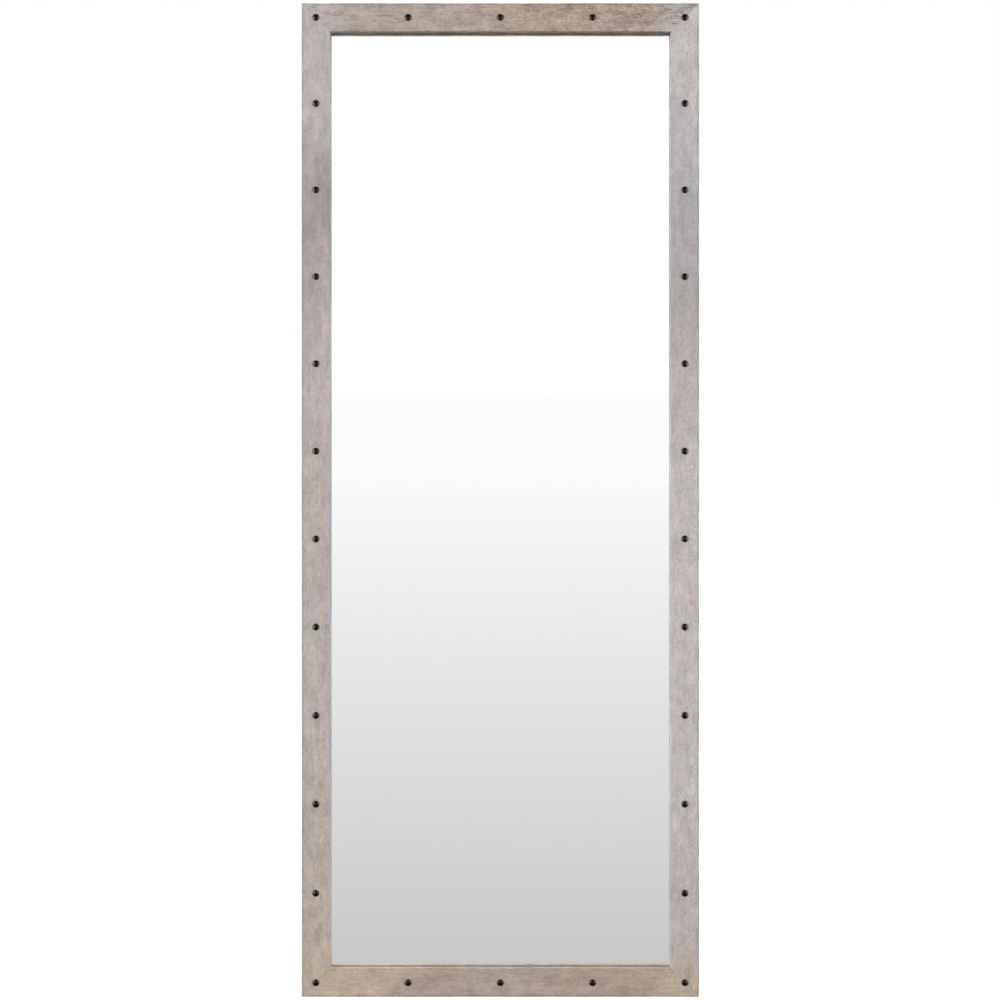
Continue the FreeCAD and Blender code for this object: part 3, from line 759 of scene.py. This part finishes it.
HEAD_SEGMENTS = 40
HEAD_RINGS = 12
SKIRT_DEPTH = 0.35 * MM
SKIRT_INSET = 0.1 * MM
HAMMER_CELL = (2.6 * MM, 2.6 * MM)
HAMMER_DEPTH = 0.16 * MM
TACK_DENT_SIZE = 2.4 * MM
TACK_DENT_DEPTH = 0.35 * MM
TACK_SCUFF_SIZE = 0.9 * MM


def dark_tack():
    """Dark bronze that is nearly black, with scuffs and dents."""
    shader = new_material("dark_tack")
    place = shader.join(*shader.place())
    dents = shader.cells(shader.stretched(place, TACK_DENT_SIZE, TACK_DENT_SIZE))
    scuffs = shader.noise(shader.stretched(place, TACK_SCUFF_SIZE, TACK_SCUFF_SIZE), detail=3.0)
    scuffed = shader.span(scuffs, 0.55, 0.75, 0.0, 0.6)
    shader.principled(
        Base_Color=shader.blend(scuffed, tint(15, 7, 5), tint(52, 34, 28)),
        Roughness=shader.add(0.2, shader.times(scuffs, 0.16)),
        IOR=1.18,
        Specular_Tint=(1.0, 0.8, 0.68, 1.0),
        Normal=shader.bump(shader.add(dents, shader.times(scuffs, 0.1)), TACK_DENT_DEPTH, 0.5),
    )
    return shader.owner


def dome(centre_x, centre_z, radius, height, seed):
    """A hammered head with a short skirt that goes into the dent in the wood."""
    ball = (radius * radius + height * height) / (2 * height)
    steep = math.asin(radius / ball)
    levels = [(ball * math.sin(steep * ring / HEAD_RINGS),
               ball * math.cos(steep * ring / HEAD_RINGS) - ball + height)
              for ring in range(1, HEAD_RINGS + 1)]
    levels.append((radius - SKIRT_INSET, -SKIRT_DEPTH))
    points = [(0.0, 0.0, 0.0, height), (0.0, 0.0, 0.0, -SKIRT_DEPTH)]
    for outwards, level in levels:
        for segment in range(HEAD_SEGMENTS):
            angle = math.tau * segment / HEAD_SEGMENTS
            points.append((outwards * math.cos(angle), outwards * math.sin(angle), outwards, level))
    x, z, outwards, level = np.array(points).T
    hammered = hollows(x + radius, z + radius, HAMMER_CELL, seed)
    lift = level - HAMMER_DEPTH * hammered * eased(outwards, radius) * (level > 0)

    faces, rim = turned_faces(len(levels), HEAD_SEGMENTS, 2)
    faces += [(1, rim[(segment + 1) % HEAD_SEGMENTS], rim[segment])
              for segment in range(HEAD_SEGMENTS)]
    return np.stack((centre_x + x, FRONT - lift, centre_z + z), axis=1), faces


def make_nailheads(material):
    """The four rows of nailheads, one piece for each row."""
    pieces = []
    for row, (node, solids) in enumerate(NAILS.items()):
        parts = [dome((low.x + high.x) / 2, (low.z + high.z) / 2, (high.x - low.x) / 2,
                      FRONT - low.y, SEEDS_APART * row + number)
                 for number, (low, high) in enumerate(solids)]
        piece = dress(gather(node, parts), material)
        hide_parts(node)
        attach(piece, "frame")
        pieces.append(piece)
    return pieces


# Screws: a cross recess in the head and a helical thread

SCREW_SEGMENTS = 24
SHANK_RADIUS = 1.6 * MM
CORE_RADIUS = 1.15 * MM
POINT_LENGTH = 4 * MM
POINT_SHARE = 0.04
THREAD_PITCH = 1.5 * MM
THREAD_DEPTH = 0.45 * MM
ROWS_PER_PITCH = 5
HEAD_RING_SHARES = (0.12, 0.25, 0.38, 0.5, 0.6, 0.7, 0.85, 0.94, 1.0)
RECESS_DEPTH = 1.2 * MM
RECESS_REACH = 1.9 * MM
SLOT_HALF_WIDTH = 0.3 * MM
SLOT_SLOPE = 0.3 * MM
FLAT_HEAD_DEPTH = 1.8 * MM
FLAT_HEAD_RIM = 0.3 * MM
PAN_HEAD_DEPTH = 0.1 * MM
PAN_HEIGHT = 2.2 * MM
PAN_ROUNDNESS = 2.6


def recess(radius, angle):
    """How deep the cross recess of a head is at that place."""
    side_on = min(abs(math.sin(angle)), abs(math.cos(angle))) * radius
    in_slot = 1 - min(1.0, max(0.0, (side_on - SLOT_HALF_WIDTH) / SLOT_SLOPE))
    return RECESS_DEPTH * in_slot * max(0.0, 1 - (radius / RECESS_REACH) ** 3)


def threaded(radius, level, angle):
    """The radius of the shank at that place, on the core or on the thread's ridge."""
    phase = (level / THREAD_PITCH + angle / math.tau) % 1.0
    ridge = max(0.0, 1 - abs(phase - 0.5) * 4)
    return radius / SHANK_RADIUS * (CORE_RADIUS + THREAD_DEPTH * ridge)


def screw(centre_x, centre_z, top, length, head_radius, head_depth, pan_height, turn):
    """Points and faces of one screw that goes in towards -Y from its head at the back."""
    rings = [(head_radius * share, pan_height * (1 - share ** PAN_ROUNDNESS), True)
             for share in HEAD_RING_SHARES]
    rings.append((head_radius, 0.0 if pan_height else -FLAT_HEAD_RIM, False))
    rings.append((SHANK_RADIUS, -head_depth, False))
    below_head = length - head_depth
    rows = round(below_head / (THREAD_PITCH / ROWS_PER_PITCH))
    for row in range(1, rows + 1):
        down = head_depth + below_head * row / rows
        taper = min(1.0, (length - down) / POINT_LENGTH)
        rings.append((SHANK_RADIUS * max(taper, POINT_SHARE), -down, False))
    points = [(centre_x, top + pan_height - RECESS_DEPTH, centre_z)]
    for ring_radius, ring_level, on_head in rings:
        for segment in range(SCREW_SEGMENTS):
            angle = math.tau * segment / SCREW_SEGMENTS
            radius, level = ring_radius, ring_level
            if on_head:
                level -= recess(radius, angle)
            elif level < -head_depth - THREAD_PITCH:
                radius = threaded(radius, level, angle)
            points.append((centre_x + radius * math.cos(angle + turn), top + level,
                           centre_z + radius * math.sin(angle + turn)))
    faces, tip = turned_faces(len(rings), SCREW_SEGMENTS, 1)
    return points, faces + [tip]


def make_screws(node, material, pan_height=0.0):
    """All screws of a CAD node as one piece, each turned by chance."""
    parts = []
    turns = np.random.default_rng(len(node)).uniform(0, math.tau, 64)
    head_depth = PAN_HEAD_DEPTH if pan_height else FLAT_HEAD_DEPTH
    for (low, high), turn in zip(solids_of(node), turns):
        top = high.y - pan_height
        parts.append(screw((low.x + high.x) / 2, (low.z + high.z) / 2, top, top - low.y,
                           (high.x - low.x) / 2, head_depth, pan_height, turn))
    piece = dress(gather(node, parts), material)
    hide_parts(node)
    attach(piece, "frame")


# The mirror pane: clear glass with its silvering and its paint on the back, and seamed edges

SEAM_WIDTH = 0.8 * MM
SEAM_GRIT = 0.4 * MM
SEAM_RELIEF = 0.05 * MM
PAINT_DEPTH = 0.15 * MM


def pane_materials():
    """Glass, paint, silvering and seamed edge."""
    glass = new_material("pane_glass")
    glass.principled(Base_Color=(1.0, 1.0, 1.0, 1.0), Roughness=0.0, IOR=1.5,
                     Transmission_Weight=1.0)
    silver = new_material("pane_silver")
    silver.principled(Base_Color=(0.985, 0.99, 0.985, 1.0), Metallic=1.0, Roughness=0.0)
    paint = new_material("pane_paint")
    paint.principled(Base_Color=tint(96, 98, 100), Roughness=0.6)
    seam = new_material("pane_seam")
    grit = seam.noise(seam.stretched(seam.join(*seam.place()), SEAM_GRIT, SEAM_GRIT))
    seam.principled(
        Base_Color=seam.blend(grit, tint(120, 150, 138), tint(160, 184, 174)),
        Roughness=0.55,
        Normal=seam.bump(grit, SEAM_RELIEF, 0.6),
    )
    return glass.owner, paint.owner, silver.owner, seam.owner


def make_pane():
    """The pane's silvering lies just in front of the paint on its back."""
    low, high = PANE_LOW, PANE_HIGH
    levels = ((low.y, SEAM_WIDTH), (low.y + SEAM_WIDTH, 0.0), (high.y - SEAM_WIDTH, 0.0),
              (high.y, SEAM_WIDTH), (high.y - PAINT_DEPTH, SEAM_WIDTH))
    points = []
    for level, inset in levels:
        left, right = low.x + inset, high.x - inset
        bottom, top = low.z + inset, high.z - inset
        points += [(left, level, bottom), (right, level, bottom), (right, level, top),
                   (left, level, top)]
    front, back, silvering = (0, 1, 2, 3), (15, 14, 13, 12), (16, 17, 18, 19)
    faces = [front, back, silvering]
    for level in range(3):
        for side in range(4):
            first, second = 4 * level + side, 4 * level + (side + 1) % 4
            faces.append((first, second, second + 4, first + 4))
    piece = dress(new_piece("mirror_pane", points, faces, smooth=False), *pane_materials())
    for number, face in enumerate(piece.data.polygons):
        face.material_index = min(number, 3)
    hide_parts("mirror_pane")
    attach(piece, "frame")


# Finishes of the pieces whose solids are shown as they are

BLOTCH_SIZE = 60 * MM
BOARD_FIBRE_SIZE = 1.6 * MM
BOARD_FIBRE_RELIEF = 0.12 * MM
SPECK_SIZE = 0.8 * MM
PLATING_CLOUD_SIZE = 9 * MM
SCRATCH_SIZES = (0.25 * MM, 5 * MM)
SCRATCH_DEPTH = 0.02 * MM

# Grains, cells or fibres: pale and dark tone, size across and up, roughness and depth
GRAINED = {
    "beech": (tint(206, 170, 126), tint(184, 144, 100), 0.6 * MM, 6 * MM, 0.6, 0.05 * MM),
    "pad_rubber": (tint(40, 40, 41), tint(28, 28, 29), 0.8 * MM, 0.8 * MM, 0.75, 0.08 * MM),
    "neoprene": (tint(48, 48, 50), tint(34, 34, 36), 0.5 * MM, 0.5 * MM, 0.8, 0.05 * MM),
    "cork": (tint(196, 158, 112), tint(140, 100, 62), 1.8 * MM, 1.8 * MM, 0.85, 0.2 * MM),
    "foam": (tint(236, 236, 232), tint(216, 216, 212), 1.2 * MM, 1.2 * MM, 0.9, 0.12 * MM),
}


def fibreboard():
    """Brown board with blotches, fibres and dark specks."""
    shader = new_material("fibreboard")
    place = shader.join(*shader.place())
    blotches = shader.noise(shader.stretched(place, BLOTCH_SIZE, BLOTCH_SIZE), detail=3.0)
    fibres = shader.noise(shader.stretched(place, BOARD_FIBRE_SIZE, BOARD_FIBRE_SIZE),
                          detail=4.0, roughness=0.7, distortion=1.5)
    specks = shader.noise(shader.stretched(place, SPECK_SIZE, SPECK_SIZE), detail=1.0, seed=3.0)
    colour = shader.blend(shader.span(blotches, 0.3, 0.7), tint(154, 120, 85), tint(145, 111, 77))
    colour = shader.blend(shader.span(specks, 0.66, 0.74, 0.0, 0.6), colour, tint(96, 68, 44))
    colour = shader.shaded(colour, shader.add(0.86, shader.times(fibres, 0.28)))
    shader.principled(Base_Color=colour, Roughness=0.72, Specular_IOR_Level=0.25,
                      Normal=shader.bump(fibres, BOARD_FIBRE_RELIEF, 0.6))
    return shader.owner


def plated(name, colour, roughness):
    """Bright plating with faint clouds and fine scratches."""
    shader = new_material(name)
    place = shader.join(*shader.place())
    clouds = shader.noise(shader.stretched(place, PLATING_CLOUD_SIZE, PLATING_CLOUD_SIZE),
                          detail=3.0)
    scratches = shader.noise(shader.stretched(place, *SCRATCH_SIZES))
    base = shader.shaded(colour, shader.add(0.86, shader.times(clouds, 0.28)))
    shader.principled(Base_Color=base, Metallic=1.0,
                      Roughness=shader.add(roughness - 0.08, shader.times(clouds, 0.16)),
                      Normal=shader.bump(scratches, SCRATCH_DEPTH, 0.5))
    return shader.owner


def grained(name):
    """One of the two-toned materials in the table above."""
    shader = new_material(name)
    pale, dark, across, upwards, roughness, depth = GRAINED[name]
    x, y, z = shader.place()
    grains = shader.noise(shader.stretched(shader.join(x, z, y), across, upwards), 3.0, 0.6)
    colour = shader.blend(shader.span(grains, 0.35, 0.65), pale, dark)
    shader.principled(Base_Color=colour, Roughness=roughness, Specular_IOR_Level=0.3,
                      Normal=shader.bump(grains, depth, 0.7))
    return shader.owner


def dress_solids(zinc, nickel):
    """Gives a procedural finish to every solid that stays as it is."""
    beech, rubber, neoprene, cork, foam = (grained(name) for name in GRAINED)
    board = fibreboard()
    finishes = (("corner_biscuit", beech), ("wall_pad", rubber), ("setting_block", neoprene),
                ("edge_shims", cork), ("foam_sheet", foam), ("backing_board", board),
                ("corner_brace", zinc), ("hanger_strap", nickel), ("hanger_ring", nickel))
    for name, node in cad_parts.items():
        for start, material in finishes:
            if name.startswith(start):
                dress(node, material)


# Camera

CAMERA_DISTANCE = 3.5
PICTURE_WIDTH = 1.789
PICTURE_MIDDLE = -0.7 * MM
SENSOR_WIDTH = 36


def make_camera():
    """The photograph is taken square on from some metres away, at the height of the middle."""
    data = bpy.data.cameras.new("camera")
    data.sensor_width = SENSOR_WIDTH
    data.lens = SENSOR_WIDTH * CAMERA_DISTANCE / PICTURE_WIDTH
    camera = bpy.data.objects.new("camera", data)
    camera.location = (PICTURE_MIDDLE, FRONT - CAMERA_DISTANCE, 0.0)
    camera.rotation_euler = (math.radians(90), 0, 0)
    bpy.context.scene.collection.objects.link(camera)
    bpy.context.scene.camera = camera


# Studio

# Levels in the glass, 0 to 255: it pales upwards to white, which it reaches at a height above the
# middle, and downwards the floor's painted shade darkens it from its palest by up to the fall
GLASS_PALEST = 248.6
PAINTED_FLOOR_SHADE_FALL = 51
GLASS_WHITE_HEIGHT = 0.24
GLASS_TONES = [(0.0, grey(GLASS_PALEST)), (0.17, grey(252.2)), (0.7, grey(252.4)),
               (0.92, (1.04, 1.04, 1.04, 1.0))]

# Light from all round, more from the sides. The lamps don't show in the glass, so the light that
# it would throw from them comes with this fill, which is stronger for it.
FILL_LIGHT = 0.84
FILL_FROM_SIDES = 0.36
THROWN_LIGHT = 5.0

# The floor: its half size, its tone in the light that it gives back, and how the camera sees it
FLOOR_HALF = 200.0
FLOOR_TONE = 0.28
SEEN_FLOOR_TONE = 0.5
SEEN_FLOOR_GLOW = 0.6

# Soft boxes: name, place, aim, width, height and watts
LAMPS = (
    ("key", (-2.7, -3.0, 0.7), (0.0, FRONT, 0.0), 2.4, 2.4, 41),
    ("fill", (2.7, -3.0, 0.2), (0.0, FRONT, 0.0), 2.4, 2.4, 37),
    ("overhead", (0.0, -0.8, 2.6), (0.0, FRONT, 0.4), 2.0, 1.2, 5),
    ("behind", (0.6, 3.4, 1.6), (0.0, BACK, 0.0), 2.4, 2.0, 60),
)

# Panels that light only the nailheads
RIM_OUTWARDS = 1.25
RIM_FORWARDS = 0.25
RIM_WIDTH = 1.0
RIM_HEIGHT = 2.4
RIM_WATTS = 230


def ray_kinds(shader):
    """1 for what the camera sees, 1 for what it sees in the glass, 1 for light thrown by the glass."""
    rays = shader.nodes.new("ShaderNodeLightPath").outputs
    reflected = shader.math("MAXIMUM", rays["Is Glossy Ray"], rays["Is Transmission Ray"])
    from_camera = shader.math("LESS_THAN", rays["Diffuse Depth"], 0.5)
    thrown = shader.times(reflected, shader.less(1.0, from_camera))
    return rays["Is Camera Ray"], shader.times(reflected, from_camera), thrown


def make_world():
    """White behind the object, a studio that pales upwards in reflections, and a soft fill."""
    world = bpy.data.worlds.new("studio")
    bpy.context.scene.world = world
    shader = Shader(world)
    seen, mirrored, thrown = ray_kinds(shader)
    sideways, _, upwards = shader.place("Generated")
    studio = shader.ramp(shader.times(upwards, CAMERA_DISTANCE / GLASS_WHITE_HEIGHT), GLASS_TONES)
    fill = shader.add(FILL_LIGHT, shader.times(sideways, sideways, FILL_FROM_SIDES))
    fill = shader.times(fill, shader.add(1.0, shader.times(thrown, THROWN_LIGHT)))
    colour = shader.blend(mirrored, shader.join(fill, fill, fill), studio)
    colour = shader.blend(seen, colour, (1.0, 1.0, 1.0, 1.0))
    shader.links.new(colour, shader.nodes["Background"].inputs["Color"])


def painted_floor_shade_in_glass(shader):
    """The floor's glow in the glass, with a painted shade that darkens it towards the foot of the
    mirror.
    """
    sideways, backwards, _ = shader.place()
    beside = shader.math("MAXIMUM", shader.less(shader.math("ABSOLUTE", sideways), HALF_WIDTH), 0.0)
    before = shader.math("MAXIMUM", shader.less(PANE_LOW.y, backwards), 0.0)
    squares = shader.add(shader.times(beside, beside), shader.times(before, before))
    away = shader.math("SQRT", squares)
    near = shader.math("DIVIDE", CAMERA_DISTANCE, shader.add(away, CAMERA_DISTANCE))
    level = shader.add(shader.times(near, -PAINTED_FLOOR_SHADE_FALL / 255), GLASS_PALEST / 255 + CURVE_OFFSET)
    return shader.math("POWER", shader.times(level, 1 / (1 + CURVE_OFFSET)), CURVE_POWER)


def make_floor():
    """A pale floor. In the glass it glows, though it is no lamp, with a painted shade that darkens it
    towards the foot of the mirror.
    """
    corners = [(-FLOOR_HALF, -FLOOR_HALF), (FLOOR_HALF, -FLOOR_HALF), (FLOOR_HALF, FLOOR_HALF),
               (-FLOOR_HALF, FLOOR_HALF)]
    floor = new_piece("floor", [(x, y, -HALF_HEIGHT) for x, y in corners], [(0, 1, 2, 3)],
                      smooth=False)
    shader = new_material("floor")
    shader.nodes.remove(shader.nodes["Principled BSDF"])
    seen, mirrored, _ = ray_kinds(shader)
    # The floor glows though it is no lamp: evenly for the camera, and in the glass with a painted
    # shade near the mirror's foot.
    glow = shader.add(shader.times(seen, SEEN_FLOOR_GLOW),
                      shader.times(mirrored, painted_floor_shade_in_glass(shader)))
    emission = shader.nodes.new("ShaderNodeEmission")
    shader.feed(emission.inputs["Strength"], glow)
    matt = shader.nodes.new("ShaderNodeBsdfDiffuse")
    tone = shader.add(FLOOR_TONE, shader.times(seen, SEEN_FLOOR_TONE - FLOOR_TONE),
                      shader.times(mirrored, -FLOOR_TONE))
    shader.feed(matt.inputs["Color"], shader.join(tone, tone, tone))
    both = shader.nodes.new("ShaderNodeAddShader")
    shader.links.new(emission.outputs[0], both.inputs[0])
    shader.links.new(matt.outputs[0], both.inputs[1])
    shader.links.new(both.outputs[0], shader.nodes["Material Output"].inputs["Surface"])
    dress(floor, shader.owner)


def area_light(name, place, aim, width, height, watts):
    """A soft box that lights the object but isn't seen itself."""
    data = bpy.data.lights.new(name, "AREA")
    data.shape = "RECTANGLE"
    data.size = width
    data.size_y = height
    data.energy = watts
    lamp = bpy.data.objects.new(name, data)
    lamp.location = place
    lamp.rotation_euler = (Vector(aim) - Vector(place)).to_track_quat("-Z", "Y").to_euler()
    lamp.visible_camera = False
    lamp.visible_glossy = False
    lamp.visible_transmission = False
    bpy.context.scene.collection.objects.link(lamp)
    return lamp


def make_rim_lights(nailheads):
    """Tall panels at both sides, which show only as highlights on the nailheads."""
    lit = bpy.data.collections.new("lit_by_rim_panels")
    for piece in nailheads:
        lit.objects.link(piece)
    for side in (-1, 1):
        lamp = area_light(f"rim_{side + 1}", (side * RIM_OUTWARDS, -RIM_FORWARDS, 0.0),
                          (0.0, -RIM_FORWARDS, 0.0), RIM_WIDTH, RIM_HEIGHT, RIM_WATTS)
        lamp.visible_glossy = True
        lamp.visible_diffuse = False
        lamp.light_linking.receiver_collection = lit


make_camera()
make_world()
make_floor()
for lamp_settings in LAMPS:
    area_light(*lamp_settings)

make_rail("top_rail", False, 1)
make_rail("bottom_rail", False, -1)
make_rail("left_stile", True, -1)
make_rail("right_stile", True, 1)
make_rim_lights(make_nailheads(dark_tack()))
make_pane()
zinc = plated("zinc", tint(182, 184, 186), 0.36)
nickel = plated("nickel", tint(192, 187, 180), 0.22)
make_screws("board_screws", zinc)
make_screws("brace_screws", zinc)
make_screws("hanger_screws", nickel, PAN_HEIGHT)
dress_solids(zinc, nickel)

bpy.context.scene.view_settings.view_transform = "Standard"
